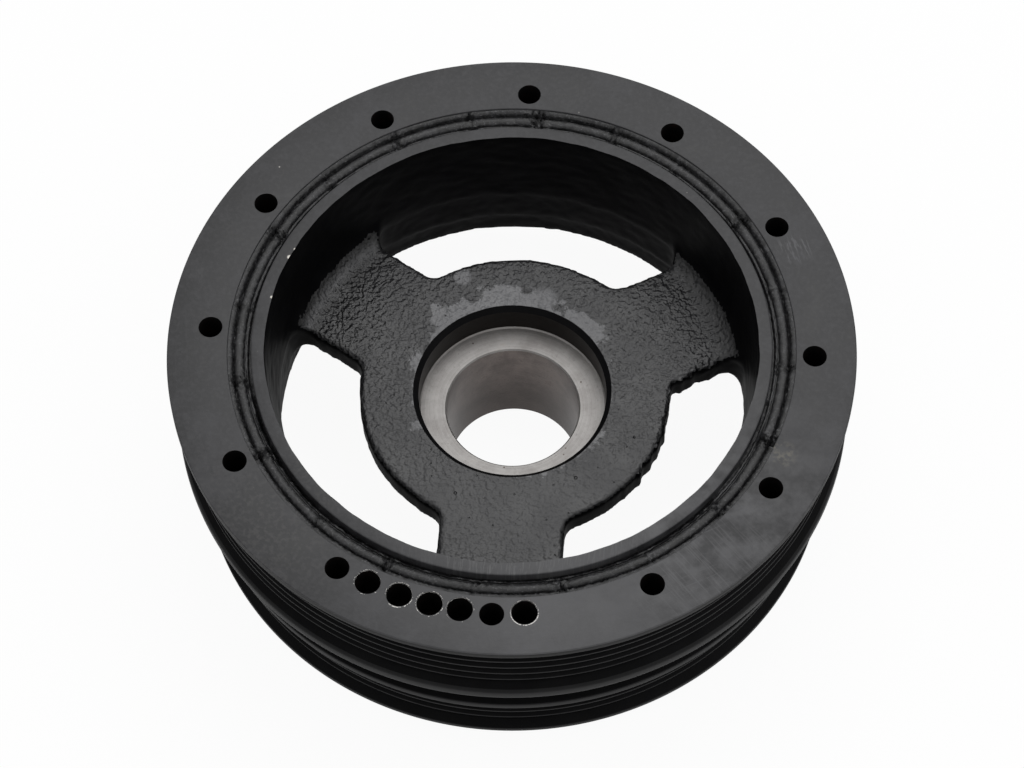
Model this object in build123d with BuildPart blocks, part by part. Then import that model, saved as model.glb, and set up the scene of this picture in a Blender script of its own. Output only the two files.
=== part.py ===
from build123d import *
from math import atan2, degrees, radians, tan
import os

# Harmonic balancer of a truck engine, front face up, standing on the end of its rear snout.
# Millimetres. The axis is Z, and the origin is the centre of the snout's end face.
# Depths are measured down from the front face, and radii from the axis.

# Hub rim
rim_outer_radius = 71.5      # fit of the rubber
rim_skirt = 10.8             # how far the rim goes on behind the web
rim_mouth_wall = 3.7         # wall at the front face
rim_waist_wall = 6.3         # wall where the taper ends, over a window
rim_waist_height = 1.2       # above the web's front side
rim_back_wall = 5.5          # wall behind the web
rim_back_mouth_wall = 4.9
rim_edge_rounding = 0.6
edge_chamfer = 0.4

# Web, windows and spokes
web_depth = 26.4             # front side of the web
web_thickness = 8.0
window_wall = 5.9            # rim wall left behind a window
window_corner_radius = 4.5
window_corner_share = 0.4    # most of a window's width that a corner may take
spoke_width = 34.6
spoke_count = 3
spoke_first_angle = 24.44
core_shift_x = 0.6           # the sand core sat this far off the axis
core_shift_y = 0.2
front_root_fillet = 8.0      # web to rim wall
back_root_fillet = 4.0
window_edge_rounding = 1.0
wall_relief = 0.05           # how far a window is cut into the tapered wall
mouth_reach = 1.1            # how far up a window is cut, in front root fillets

# Boss, seat and snout
bore_radius = 18.85
bore_chamfer = 0.4
seat_width = 7.65            # flat ring under the washer of the end bolt
counterbore_depth = 9.7      # web's front side to the seat
counterbore_chamfer = 1.45
disc_wall = 17.3             # counterbore to the windows
boss_wall = 12.65            # bore to the outside of the boss
boss_taper = 1.0             # how far the boss narrows to its end
boss_length = 15.6
boss_fillet = 2.5
boss_fillet_share = 0.45     # most of the step to the snout that a fillet may take
snout_wall = 5.75
snout_length = 20.5
snout_chamfer = 1.5

# Rubber ring
rubber_thickness = 6.4
rubber_set_back = 1.4        # rim's rear edge to the back of the rubber
rubber_channel_depth = 2.6   # groove beside the hub's rim
rubber_shoulder_depth = 1.9  # level beside the inertia ring
bead_inset = 1.2             # from each wall
bead_crown_depth = 1.1

# Grooves for the ribbed belts
rib_pitch = 3.56
rib_height = 3.3
groove_half_angle = 20.0
groove_root_width = 0.6
tip_chamfer = 0.15
front_groove_count = 6
rear_groove_count = 4

# Walls of the inertia ring, from its bore outwards
front_groove_wall = 10.8     # bore to the groove roots
rear_groove_wall = 7.0
channel_wall = 7.6
hole_circle_wall = 5.1       # bore to the circle of the drilled holes
balance_circle_wall = 4.6
relief_wall = 2.6            # turned relief in the back of the bore
relief_length = 12.0

# Belt flanges: how far each stands over its rib tips, and how wide it is
face_flange_height = 2.5
face_flange_width = 4.77     # front face to the middle of the first groove
middle_flange_height = 2.0
middle_flange_width = 6.13
rear_flange_height = 2.6
rear_flange_width = 4.75
back_flange_height = 1.8
back_flange_width = 3.77
ridge_rounding = 1.2         # worn round edges of the middle flange
flange_rounding = 0.5

# Channel between the two belt sections
channel_width = 11.1
channel_slope = 1.5          # how far its sides lean in
channel_rounding = 2.5

# Drilled holes in the front face
hole_count = 12
hole_radius = 3.3
hole_drilling = 16.0         # depth of the full width
hole_first_angle = 25.47
balance_radius = 3.45
balance_drilling = 12.0
balance_angles = (241.82, 248.14, 253.99, 259.63, 271.4)
drill_point_angle = 118.0

# Radii worked out from the walls
rim_mouth_radius = rim_outer_radius - rim_mouth_wall
rim_waist_radius = rim_outer_radius - rim_waist_wall
rim_back_radius = rim_outer_radius - rim_back_wall
rim_back_mouth_radius = rim_outer_radius - rim_back_mouth_wall
window_wall_radius = rim_outer_radius - window_wall
counterbore_radius = bore_radius + seat_width
disc_radius = counterbore_radius + disc_wall
corner_radius = min(window_corner_radius, window_corner_share * (rim_waist_radius - disc_radius))
boss_radius = bore_radius + boss_wall
boss_end_radius = boss_radius - boss_taper
snout_radius = bore_radius + snout_wall
boss_round = min(boss_fillet, boss_fillet_share * (boss_end_radius - snout_radius))
ring_bore_radius = rim_outer_radius + rubber_thickness
bead_inner_radius = rim_outer_radius + bead_inset
bead_outer_radius = ring_bore_radius - bead_inset
front_tip_radius = ring_bore_radius + front_groove_wall + rib_height
rear_tip_radius = ring_bore_radius + rear_groove_wall + rib_height
face_radius = front_tip_radius + face_flange_height
middle_flange_radius = front_tip_radius + middle_flange_height
rear_flange_radius = rear_tip_radius + rear_flange_height
back_flange_radius = rear_tip_radius + back_flange_height
channel_radius = ring_bore_radius + channel_wall
relief_radius = ring_bore_radius + relief_wall
hole_circle_radius = ring_bore_radius + hole_circle_wall
balance_circle_radius = ring_bore_radius + balance_circle_wall

# Depths below the front face, worked out from the widths
web_back_depth = web_depth + web_thickness
rim_length = web_back_depth + rim_skirt
rim_waist_depth = web_depth - rim_waist_height
seat_depth = web_depth + counterbore_depth
boss_end_depth = web_back_depth + boss_length
hub_length = boss_end_depth + snout_length
rubber_back_depth = rim_length - rubber_set_back
front_last_depth = face_flange_width + (front_groove_count - 1) * rib_pitch
middle_flange_depth = front_last_depth + middle_flange_width
channel_end_depth = middle_flange_depth + channel_width
rear_groove_depth = channel_end_depth + rear_flange_width
rear_last_depth = rear_groove_depth + (rear_groove_count - 1) * rib_pitch
ring_length = rear_last_depth + back_flange_width
relief_depth = ring_length - relief_length
front_z = hub_length

# Slope of the rim's tapered wall, and the hair's breadth used to pick edges by their height
wall_slope = (rim_mouth_radius - rim_waist_radius) / rim_waist_depth
wall_foot_radius = rim_mouth_radius - wall_slope * web_depth
wall_taper = degrees(atan2(wall_slope, 1))
hair = 0.001


def height(depth):
    """Height of a place given by its depth below the front face."""
    return front_z - depth


def groove(tip_radius, depth):
    """Section of one belt groove, drawn open past the tips of its ribs."""
    root_radius = tip_radius - rib_height
    mouth_radius = tip_radius + rib_height
    half_root = groove_root_width / 2
    half_mouth = half_root + (mouth_radius - root_radius) * tan(radians(groove_half_angle))
    middle = height(depth)
    Polygon(
        (root_radius, middle - half_root),
        (mouth_radius, middle - half_mouth),
        (mouth_radius, middle + half_mouth),
        (root_radius, middle + half_root),
        align=None,
        mode=Mode.SUBTRACT,
    )


def drilled_hole(radius, depth):
    """A blind hole with a drill point, down from each current place."""
    point_height = radius / tan(radians(drill_point_angle / 2))
    Hole(radius, depth)
    with Locations((0, 0, -depth)):
        Cone(0, radius, point_height, align=(Align.CENTER, Align.CENTER, Align.MAX), mode=Mode.SUBTRACT)


def windows(sketch, wall_radius):
    """Outline of the windows between the spokes, out to a wall radius."""
    Circle(wall_radius)
    with Locations((core_shift_x, core_shift_y)):
        Circle(disc_radius, mode=Mode.SUBTRACT)
        with PolarLocations(0, spoke_count, spoke_first_angle):
            Rectangle(
                face_radius,
                spoke_width,
                align=(Align.MIN, Align.CENTER),
                mode=Mode.SUBTRACT,
            )
    fillet(sketch.vertices(), corner_radius)


def window_edges(casting, depth):
    """Straight and round edges of the windows on one side of the web."""
    edges = casting.edges().filter_by_position(Axis.Z, height(depth) - hair, height(depth) + hair)
    radii = (disc_radius, corner_radius)
    circles = edges.filter_by(GeomType.CIRCLE)
    arcs = [edge for edge in circles if min(abs(edge.radius - radius) for radius in radii) < hair]
    return edges.filter_by(GeomType.LINE) + arcs


# Inertia ring: one cast ring turned all over, with two belt sections and a channel between them
with BuildPart() as inertia_ring:
    with BuildSketch(Plane.XZ) as ring_section:
        with BuildLine():
            Polyline(
                (ring_bore_radius, height(0)),
                (face_radius, height(0)),
                (face_radius, height(face_flange_width)),
                (front_tip_radius, height(face_flange_width)),
                (front_tip_radius, height(front_last_depth)),
                (middle_flange_radius, height(front_last_depth)),
                (middle_flange_radius, height(middle_flange_depth)),
                (channel_radius, height(middle_flange_depth + channel_slope)),
                (channel_radius, height(channel_end_depth - channel_slope)),
                (rear_flange_radius, height(channel_end_depth)),
                (rear_flange_radius, height(rear_groove_depth)),
                (rear_tip_radius, height(rear_groove_depth)),
                (rear_tip_radius, height(rear_last_depth)),
                (back_flange_radius, height(rear_last_depth)),
                (back_flange_radius, height(ring_length)),
                (relief_radius, height(ring_length)),
                (relief_radius, height(relief_depth + relief_radius - ring_bore_radius)),
                (ring_bore_radius, height(relief_depth)),
                close=True,
            )
        make_face()
        for step in range(front_groove_count):
            groove(front_tip_radius, face_flange_width + step * rib_pitch)
        for step in range(rear_groove_count):
            groove(rear_tip_radius, rear_groove_depth + step * rib_pitch)
        for radius, rounding in (
            (middle_flange_radius, ridge_rounding),
            (rear_flange_radius, flange_rounding),
            (channel_radius, channel_rounding),
        ):
            fillet(ring_section.vertices().filter_by_position(Axis.X, radius - hair, radius + hair), rounding)
        for radius, width in (
            (front_tip_radius, tip_chamfer),
            (rear_tip_radius, tip_chamfer),
            (face_radius, edge_chamfer),
            (back_flange_radius, edge_chamfer),
        ):
            chamfer(ring_section.vertices().filter_by_position(Axis.X, radius - hair, radius + hair), width)
    revolve(axis=Axis.Z)
    with Locations(Plane.XY.offset(front_z)):
        with PolarLocations(hole_circle_radius, hole_count, hole_first_angle):
            drilled_hole(hole_radius, hole_drilling)
        for angle in balance_angles:
            with PolarLocations(balance_circle_radius, 1, angle):
                drilled_hole(balance_radius, balance_drilling)
inertia_ring.part.label = "inertia_ring"


# Rubber ring: moulded between the hub's rim and the inertia ring, with a bead proud of its front
with BuildPart() as rubber_ring:
    with BuildSketch(Plane.XZ):
        with BuildLine():
            foot = Polyline(
                (bead_outer_radius, height(rubber_shoulder_depth)),
                (ring_bore_radius, height(rubber_shoulder_depth)),
                (ring_bore_radius, height(rubber_back_depth)),
                (rim_outer_radius, height(rubber_back_depth)),
                (rim_outer_radius, height(rubber_channel_depth)),
                (bead_inner_radius, height(rubber_channel_depth)),
            )
            ThreePointArc(
                foot @ 1,
                ((bead_inner_radius + bead_outer_radius) / 2, height(bead_crown_depth)),
                foot @ 0,
            )
        make_face()
    revolve(axis=Axis.Z)
rubber_ring.part.label = "rubber_ring"


# Hub: one casting with its rim, three spokes, a disc round the counterbore, a boss and a snout
with BuildPart() as hub:
    with BuildSketch(Plane.XZ) as section:
        with BuildLine():
            Polyline(
                (bore_radius, height(seat_depth)),
                (counterbore_radius, height(seat_depth)),
                (counterbore_radius, height(web_depth + counterbore_chamfer)),
                (counterbore_radius + counterbore_chamfer, height(web_depth)),
                (wall_foot_radius, height(web_depth)),
                (rim_mouth_radius, height(0)),
                (rim_outer_radius, height(0)),
                (rim_outer_radius, height(rim_length)),
                (rim_back_mouth_radius, height(rim_length)),
                (rim_back_radius, height(web_back_depth)),
                (boss_radius, height(web_back_depth)),
                (boss_end_radius, height(boss_end_depth)),
                (snout_radius, height(boss_end_depth)),
                (snout_radius, height(hub_length)),
                (bore_radius, height(hub_length)),
                close=True,
            )
        make_face()
        for radius, depth, rounding in (
            (wall_foot_radius, web_depth, front_root_fillet),
            (rim_back_radius, web_back_depth, back_root_fillet),
            (boss_radius, web_back_depth, boss_round),
            (boss_end_radius, boss_end_depth, boss_round),
            (snout_radius, boss_end_depth, boss_round),
            (rim_mouth_radius, 0, rim_edge_rounding),
        ):
            fillet(section.vertices().sort_by_distance((radius, height(depth)))[0], rounding)
        for radius, depth, width in (
            (rim_outer_radius, 0, edge_chamfer),
            (snout_radius, hub_length, snout_chamfer),
            (bore_radius, hub_length, bore_chamfer),
            (bore_radius, seat_depth, bore_chamfer),
        ):
            chamfer(section.vertices().sort_by_distance((radius, height(depth)))[0], width)
    revolve(axis=Axis.Z)
    with BuildSketch(Plane.XY.offset(height(rim_waist_depth))) as opening:
        windows(opening, window_wall_radius)
    extrude(amount=-(rim_length - rim_waist_depth + edge_chamfer), mode=Mode.SUBTRACT)
    with BuildSketch(Plane.XY.offset(height(rim_waist_depth))) as mouth:
        windows(mouth, rim_waist_radius + wall_relief)
    extrude(amount=front_root_fillet * mouth_reach, taper=-wall_taper, mode=Mode.SUBTRACT)
    fillet(window_edges(hub, web_depth) + window_edges(hub, web_back_depth), window_edge_rounding)
hub.part.label = "hub"


# Written out, one file for each piece
os.makedirs("parts", exist_ok=True)
for piece in (hub, rubber_ring, inertia_ring):
    export_step(piece.part, f"parts/{piece.part.label}.step")
    print(piece.part.label, "volume", round(piece.part.volume / 1000, 1), "cm3, valid", piece.part.is_valid)
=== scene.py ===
# %% [markdown]
# # A harmonic balancer, cell by cell
# The balancer is the damper and belt pulley on the front of a truck engine's crankshaft.
# It has three pieces: a cast iron hub, a ring of moulded rubber, and a heavy inertia ring.
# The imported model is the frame: it fixes every size and place, and these cells dress it.
# Lengths are written in millimetres and turned to metres where a mesh is made.

# %% Load the frame
import math

import bmesh
import bpy
import numpy as np
from mathutils import Matrix, Vector, noise


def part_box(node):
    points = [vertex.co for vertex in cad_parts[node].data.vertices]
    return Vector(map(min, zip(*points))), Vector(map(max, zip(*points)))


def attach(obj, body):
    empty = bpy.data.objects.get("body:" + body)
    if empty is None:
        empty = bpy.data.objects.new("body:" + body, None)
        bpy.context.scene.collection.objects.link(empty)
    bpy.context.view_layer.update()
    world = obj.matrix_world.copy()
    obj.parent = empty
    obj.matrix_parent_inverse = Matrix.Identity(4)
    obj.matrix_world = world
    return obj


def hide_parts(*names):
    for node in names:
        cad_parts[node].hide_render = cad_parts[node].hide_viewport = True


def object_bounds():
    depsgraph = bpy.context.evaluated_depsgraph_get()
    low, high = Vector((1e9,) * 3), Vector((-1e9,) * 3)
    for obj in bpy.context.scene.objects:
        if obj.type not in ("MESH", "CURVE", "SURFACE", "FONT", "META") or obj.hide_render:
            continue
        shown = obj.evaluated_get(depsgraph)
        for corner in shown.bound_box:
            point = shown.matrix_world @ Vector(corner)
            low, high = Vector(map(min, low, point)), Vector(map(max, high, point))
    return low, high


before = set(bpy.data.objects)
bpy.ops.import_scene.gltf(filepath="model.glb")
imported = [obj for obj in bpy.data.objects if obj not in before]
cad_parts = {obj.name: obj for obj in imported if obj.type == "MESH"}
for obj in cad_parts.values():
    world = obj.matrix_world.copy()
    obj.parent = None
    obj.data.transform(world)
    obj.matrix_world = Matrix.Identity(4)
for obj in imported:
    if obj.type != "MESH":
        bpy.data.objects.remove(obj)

cad_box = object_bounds()
MM = 0.001
front_z = cad_box[1].z / MM
print("front face", round(front_z, 2), "mm above the end of the snout")

# %% [markdown]
# ## Camera
# The photograph looks down at the front face from about 60 degrees, about 85 cm away.
# Its lens, height, tilt and distance were worked out from the twelve drilled holes, which are
# evenly spaced on one circle. The camera is placed from the centre of the front face.

# %% Camera
sensor_width = 36.0
lens = 108.72
camera_elevation = math.radians(59.792)
camera_roll = math.radians(-1.1235)
camera_distance = 847.75
camera_right = 0.15           # how far the camera stands right of the axis, across its view
camera_down = 11.63           # and how far below it

back = Vector((0, -math.cos(camera_elevation), math.sin(camera_elevation)))
right = Vector((1, 0, 0))
up = back.cross(right)
view_right = right * math.cos(camera_roll) + up * math.sin(camera_roll)
view_up = up * math.cos(camera_roll) - right * math.sin(camera_roll)
camera_data = bpy.data.cameras.new("camera")
camera_data.sensor_width = sensor_width
camera_data.lens = lens
camera_data.clip_end = 20
camera = bpy.data.objects.new("camera", camera_data)
bpy.context.scene.collection.objects.link(camera)
turned = Matrix((view_right, view_up, back)).transposed().to_4x4()
aim = Vector((0, 0, front_z)) + view_right * camera_right - view_up * camera_down
stand = aim + back * camera_distance
camera.matrix_world = Matrix.Translation(stand * MM) @ turned
bpy.context.scene.camera = camera
print("camera", [round(v, 3) for v in camera.location])

# %% [markdown]
# ## Small helpers
# One function turns a colour as a painter reads it, sRGB hex, into the linear values that the
# shaders want. One adds a shader node with its settings and links, and one starts a material.
# The last lays colours over each other, as coat, dust and wear lie on the real surface.

# %% Colour and node helpers
def linear(colour):
    """Linear red, green, blue and alpha of an sRGB hex colour."""
    parts = [int(colour[i:i + 2], 16) / 255 for i in (1, 3, 5)]
    return (*[c / 12.92 if c <= 0.04045 else ((c + 0.055) / 1.055) ** 2.4 for c in parts], 1.0)


def add(tree, kind, sockets=None, stops=(), **settings):
    """Adds one shader node. A socket takes either a value or the output of another node.
    The stops are for a colour ramp: pairs of a place from 0 to 1 and a hex colour."""
    made = tree.nodes.new("ShaderNode" + kind)
    for name, value in settings.items():
        setattr(made, name, value)
    for name, value in (sockets or {}).items():
        if isinstance(value, bpy.types.NodeSocket):
            tree.links.new(value, made.inputs[name])
        else:
            made.inputs[name].default_value = value
    for index, (where, colour) in enumerate(stops):
        points = made.color_ramp.elements
        point = points[index] if index < len(points) else points.new(where)
        point.position = where
        point.color = linear(colour)
    return made


def start_material(name):
    """An empty material: its node tree, and where a point lies in the object, in metres."""
    made = bpy.data.materials.new(name)
    made.use_nodes = True
    made.node_tree.nodes.clear()
    place = add(made.node_tree, "TexCoord").outputs["Object"]
    return made, made.node_tree, place


def per_metre(size):
    """Scale of a pattern whose cells are this many millimetres across."""
    return 1 / (size * MM)


def layered(tree, tone, *layers):
    """Lays colours over a tone, the last one on top. A layer holds its colour, how well it
    covers, and the masks that say where it lies."""
    for colour, cover, *masks in layers:
        for mask in masks:
            cover = add(tree, "Math", {0: mask, 1: cover}, operation="MULTIPLY").outputs[0]
        tone = add(tree, "Mix", {0: cover, 6: tone, 7: linear(colour)}, data_type="RGBA").outputs[2]
    return tone


# %% [markdown]
# ## Floor, world and lamps
# The photograph has a plain white ground. Here it is white paper that keeps a faint shadow.
# Paper and world are white where the camera or a reflection sees them. As a light, the world is
# a tent that is bright overhead and dim at the sides, because the upright walls are almost
# black in the photograph. A large soft lamp behind and above gives the flat faces their sheen,
# and a weaker one stands on the right.

# %% Floor and world
def seen_directly(tree):
    """1 where the camera, a reflection or glass looks at a surface, 0 where it only gives light."""
    rays = add(tree, "LightPath")
    seen = add(tree, "Math", {0: rays.outputs["Is Camera Ray"], 1: rays.outputs["Is Glossy Ray"]},
               operation="MAXIMUM")
    return add(tree, "Math", {0: seen.outputs[0], 1: rays.outputs["Is Transmission Ray"]},
               operation="MAXIMUM").outputs[0]


floor_size = 30.0
paper_glow = 0.94             # share of plain white in the paper; the rest of it takes the shadow
tent_overhead, tent_at_sides = 0.95, 0.12

mesh = bpy.data.meshes.new("floor")
mesh.from_pydata([(-floor_size, -floor_size, 0), (floor_size, -floor_size, 0),
                  (floor_size, floor_size, 0), (-floor_size, floor_size, 0)], [], [(0, 1, 2, 3)])
floor = bpy.data.objects.new("floor", mesh)
bpy.context.scene.collection.objects.link(floor)
paper, tree, place = start_material("white_studio_paper")
matt = add(tree, "BsdfDiffuse", {"Color": linear("#f7f7f7"), "Roughness": 0.5})
white = add(tree, "Emission", {"Color": linear("#ffffff"), "Strength": 1.0})
glow = add(tree, "Math", {0: seen_directly(tree), 1: paper_glow}, operation="MULTIPLY")
shader = add(tree, "MixShader", {0: glow.outputs[0], 1: matt.outputs[0], 2: white.outputs[0]})
add(tree, "OutputMaterial", {"Surface": shader.outputs[0]})
mesh.materials.append(paper)

world = bpy.data.worlds.new("white_studio")
world.use_nodes = True
world.node_tree.nodes.clear()
tree = world.node_tree
upward = add(tree, "SeparateXYZ", {"Vector": add(tree, "TexCoord").outputs["Generated"]}).outputs["Z"]
tent = add(tree, "MapRange", {"Value": upward, "To Min": tent_at_sides, "To Max": tent_overhead})
strength = add(tree, "Mix", {0: seen_directly(tree), 2: tent.outputs["Result"], 3: 1.0},
               data_type="FLOAT")
sky = add(tree, "Background", {"Color": linear("#ffffff"), "Strength": strength.outputs[0]})
add(tree, "OutputWorld", {"Surface": sky.outputs[0]})
bpy.context.scene.world = world
bpy.context.scene.view_settings.view_transform = "Standard"
print("floor and world:", paper.name, world.name)

# %% Lamps
def soft_lamp(name, width, place, power):
    """A square lamp that faces the middle of the front face. Its width and place are in metres."""
    data = bpy.data.lights.new(name, "AREA")
    data.size = width
    data.energy = power
    made = bpy.data.objects.new(name, data)
    bpy.context.scene.collection.objects.link(made)
    made.location = place
    away = Vector(place) - Vector((0, 0, front_z * MM))
    made.rotation_euler = away.to_track_quat("Z", "Y").to_euler()


soft_lamp("overhead_softbox", 1.0, (0.15, 0.65, 1.25), 6.5)
soft_lamp("side_softbox", 0.8, (0.9, -0.2, 1.1), 2.0)

# %% [markdown]
# ## Turned shapes
# Nearly everything here is turned on a lathe or moulded round the axis, so one helper turns an
# outline of radii and depths round Z. Depths are measured down from the front face, as a
# machinist would with a depth gauge. A corner may carry a rounding, which becomes a short arc.
# Blender's Screw modifier turns outlines too, but here the points are made as arrays, so noise
# can move them before they become a mesh.

# %% Turn an outline
def soften(corners):
    """Points of an outline in which each corner (radius, depth, rounding) has become an arc."""
    made = []
    for before, here, after in zip(corners[-1:] + corners[:-1], corners, corners[1:] + corners[:1]):
        point = Vector(here[:2])
        if len(here) < 3:
            made.append(tuple(point))
            continue
        rounding = here[2]
        back_way = (Vector(before[:2]) - point).normalized()
        on_way = (Vector(after[:2]) - point).normalized()
        half = back_way.angle(on_way) / 2
        middle = point + (back_way + on_way).normalized() * (rounding / math.sin(half))
        start = point + back_way * (rounding / math.tan(half)) - middle
        end = point + on_way * (rounding / math.tan(half)) - middle
        steps = 2 if rounding < 0.25 else 4
        made += [tuple(middle + start.slerp(end, step / steps) * rounding) for step in range(steps + 1)]
    return made


def turn(outline, segments, shift=None, centre=(0, 0)):
    """Vertices in metres and faces of an outline of (radius, depth) turned round an upright axis.
    shift may move the points: it gets each one's angle, radius and depth as arrays."""
    radius, depth = np.array(outline).T
    following_radius, following_depth = np.roll(radius, -1), np.roll(depth, -1)
    if np.sum(radius * following_depth - following_radius * depth) > 0:
        radius, depth = radius[::-1], depth[::-1]
    angle = np.linspace(0, 2 * math.pi, segments, endpoint=False)[:, None]
    radius, depth = np.tile(radius, (segments, 1)), np.tile(depth, (segments, 1))
    if shift:
        radius, depth = shift(angle, radius, depth)
    points = np.stack([centre[0] + radius * np.cos(angle), centre[1] + radius * np.sin(angle),
                       front_z - depth], -1).reshape(-1, 3) * MM
    count = len(outline)
    column, row = np.meshgrid(np.arange(segments) * count, np.arange(count), indexing="ij")
    next_column, next_row = (column + count) % (segments * count), (row + 1) % count
    faces = np.stack([column + row, next_column + row, next_column + next_row, column + next_row], -1)
    return points, faces.reshape(-1, 4)


# %% Make and smooth pieces
def make_piece(name, shells, material=None):
    """One object from several shells of vertices and faces, with points on the axis merged."""
    points, faces, first = [], [], 0
    for shell_points, shell_faces in shells:
        points.append(shell_points)
        faces.append(shell_faces + first)
        first += len(shell_points)
    mesh = bpy.data.meshes.new(name)
    mesh.from_pydata(np.concatenate(points).tolist(), [], np.concatenate(faces).tolist())
    shaped = bmesh.new()
    shaped.from_mesh(mesh)
    bmesh.ops.remove_doubles(shaped, verts=shaped.verts, dist=1e-7)
    shaped.to_mesh(mesh)
    shaped.free()
    made = bpy.data.objects.new(name, mesh)
    bpy.context.scene.collection.objects.link(made)
    if material:
        mesh.materials.append(material)
    return made


def smooth_between(piece, angle):
    """Smooth shading, with edges sharper than the angle in degrees kept crisp."""
    piece.data.shade_smooth()
    piece.data.set_sharp_from_angle(angle=math.radians(angle))


def count_triangles(piece):
    """How many triangles the piece's mesh has."""
    return sum(len(face.vertices) - 2 for face in piece.data.polygons)


# %% Sizes shared by the pieces
face_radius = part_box("inertia_ring")[1].x / MM
ring_length = front_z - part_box("inertia_ring")[0].z / MM
ring_bore_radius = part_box("rubber_ring")[1].x / MM
rubber_back_depth = front_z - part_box("rubber_ring")[0].z / MM
rim_outer_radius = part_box("hub")[1].x / MM
web_depth = 26.4              # from the front face down to the spokes and the disc
web_face = (front_z - web_depth) * MM
machined_radius = 30          # the turned middle of the hub lies inside this radius
print("radii: face", round(face_radius, 2), "ring bore", round(ring_bore_radius, 2),
      "rim", round(rim_outer_radius, 2))

# %% [markdown]
# ## Finishes
# The balancer is grey cast iron with a thin black electrocoat, and its seat and bore are left
# bare. A turned face carries fine rings from the tool. A picture wrapped round it would smear on
# the walls, so the rings are a noise that follows radius plus height and fits both.

# %% Turning lines
# The tool's real feed of about 0.15 mm is too fine to show, so the lines are drawn coarser, and
# coarsest under the coat, which fills the finest ones.
coated_pitch = 0.5
bare_pitch = 0.3


def radius_and_height(tree, place):
    """How far a point lies from the axis, and how high above the end of the snout."""
    parts = add(tree, "SeparateXYZ", {"Vector": place})
    flat = add(tree, "CombineXYZ", {"X": parts.outputs["X"], "Y": parts.outputs["Y"]})
    radius = add(tree, "VectorMath", {0: flat.outputs["Vector"]}, operation="LENGTH")
    return radius.outputs["Value"], parts.outputs["Z"]


def turning_lines(tree, place, pitch):
    """A value that changes along the way a lathe tool travels, on faces and on walls."""
    radius, height = radius_and_height(tree, place)
    travel = add(tree, "Math", {0: radius, 1: height}, operation="ADD")
    lines = add(tree, "TexNoise", {"W": travel.outputs[0], "Scale": per_metre(pitch), "Detail": 3.0},
                noise_dimensions="1D")
    return lines.outputs["Fac"]


# %% [markdown]
# ## Marks of use
# Handling leaves scuffs that run one way, chips, dust and pores. Each is a mask. A soft spot says
# where on the balancer it lies, and stretched noise or the cells of a pattern break it up, so no
# picture of the marks is needed.

# %% Masks for the marks
def spot(tree, place, centre, inner, outer, depth=0):
    """A soft round patch about a point of the front face, or of one at a depth below it. It is 1
    within inner millimetres of the point and 0 beyond outer."""
    middle = Vector((*centre, front_z - depth)) * MM
    away = add(tree, "VectorMath", {0: place, 1: middle}, operation="DISTANCE")
    return add(tree, "MapRange", {"Value": away.outputs["Value"], "From Min": outer * MM,
                                  "From Max": inner * MM}).outputs["Result"]


def strokes(tree, place, direction, length, width, least):
    """Thin scuffs of a length and width that all run one way, in degrees round the axis. They
    show where a noise passes the least."""
    height = 20               # so tall that a scuff doesn't change down an edge
    turned = add(tree, "Mapping", {"Vector": place, "Rotation": (0, 0, math.radians(direction)),
                                   "Scale": (length * MM, width * MM, height * MM)},
                 vector_type="TEXTURE")
    lines = add(tree, "TexNoise", {"Vector": turned.outputs["Vector"], "Scale": 1.0, "Detail": 2.0})
    return add(tree, "MapRange", {"Value": lines.outputs["Fac"], "From Min": least,
                                  "From Max": least + 0.1}).outputs["Result"]


def rare_dots(tree, place, spacing, size, share):
    """Small dots in a share of the cells of a pattern, with spacing and size in millimetres."""
    cells = add(tree, "TexVoronoi", {"Vector": place, "Scale": per_metre(spacing)}, feature="F1")
    near = add(tree, "MapRange", {"Value": cells.outputs["Distance"], "From Min": size / spacing,
                                  "From Max": 0.6 * size / spacing})
    lot = add(tree, "SeparateColor", {"Color": cells.outputs["Color"]})
    chosen = add(tree, "Math", {0: lot.outputs["Red"], 1: share}, operation="LESS_THAN")
    return add(tree, "Math", {0: near.outputs["Result"], 1: chosen.outputs[0]},
               operation="MULTIPLY").outputs[0]


# %% [markdown]
# ### Black electrocoat on turned iron
# On turned iron the dipped coat is satin black, with slow clouds and faint rings under it. Hands
# and tools have smeared and scuffed the face at the front and on the right, the rim is rubbed
# and chipped, and dust lies in a thin film. A painted sheen, broken up by the clouds, lightens
# the face towards the front. The places of these marks were measured on the photograph and are
# written as places on the front face, in millimetres from the axis.

# %% Smears, scuffs and chips
# Each scuff: its place, how far it is full and where it ends, its strokes, colour and cover.
scuffs = (
    ((50, -70), 6, 26, (-52, 9, 0.4, 0.56), "#4a4a4c", 0.65),
    ((50, -70), 6, 26, (24, 14, 0.45, 0.62), "#444446", 0.9),
    ((79.5, 28.5), 3.5, 6, (-72, 3.5, 0.7, 0.52), "#4c4c4f", 0.7),
)
# Each chip: its place and its radius.
rim_chips = ((-28.1, 60.9, 0.7), (-59.9, 31.5, 0.5), (-61.4, 28.9, 0.8), (-66.1, 15.9, 0.5))


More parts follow.
